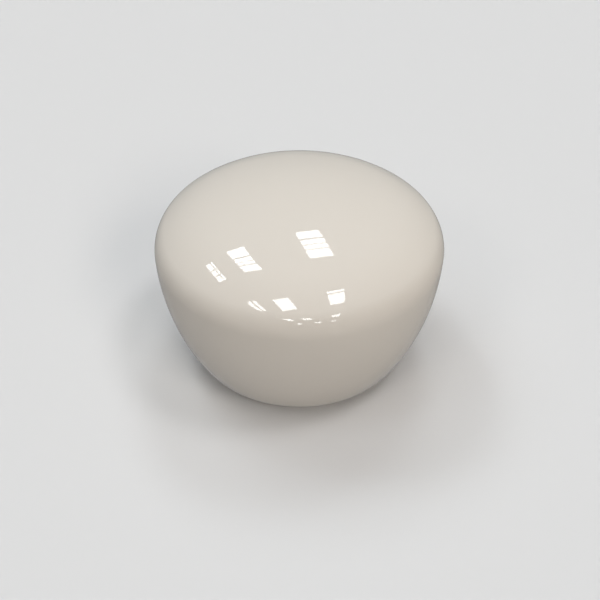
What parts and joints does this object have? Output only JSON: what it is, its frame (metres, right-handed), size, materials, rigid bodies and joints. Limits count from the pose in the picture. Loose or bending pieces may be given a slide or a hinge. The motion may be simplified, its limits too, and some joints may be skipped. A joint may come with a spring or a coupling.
{
  "type": "furniture knob",
  "caption": "Round domed knob of glazed porcelain, narrower at its foot, with a threaded brass insert cemented into the underside.",
  "frame": {"origin": "centre of the foot ring's flat face, which the knob stands on and which seats against a drawer front", "axes": "+Z along the knob's axis, from the foot ring towards the crown; the knob is round, so X and Y may be turned freely"},
  "size_m": [0.035, 0.035, 0.0223],
  "materials": {
    "glazed_porcelain": "clear glaze on off-white porcelain; unglazed foot ring and recess",
    "brass": "turned",
    "cement": "set cement, fine sand"
  },
  "bodies": {
    "root": {"knob_body": "glazed_porcelain", "threaded_insert": "brass", "insert_cement": "cement"}
  },
  "joints": []
}
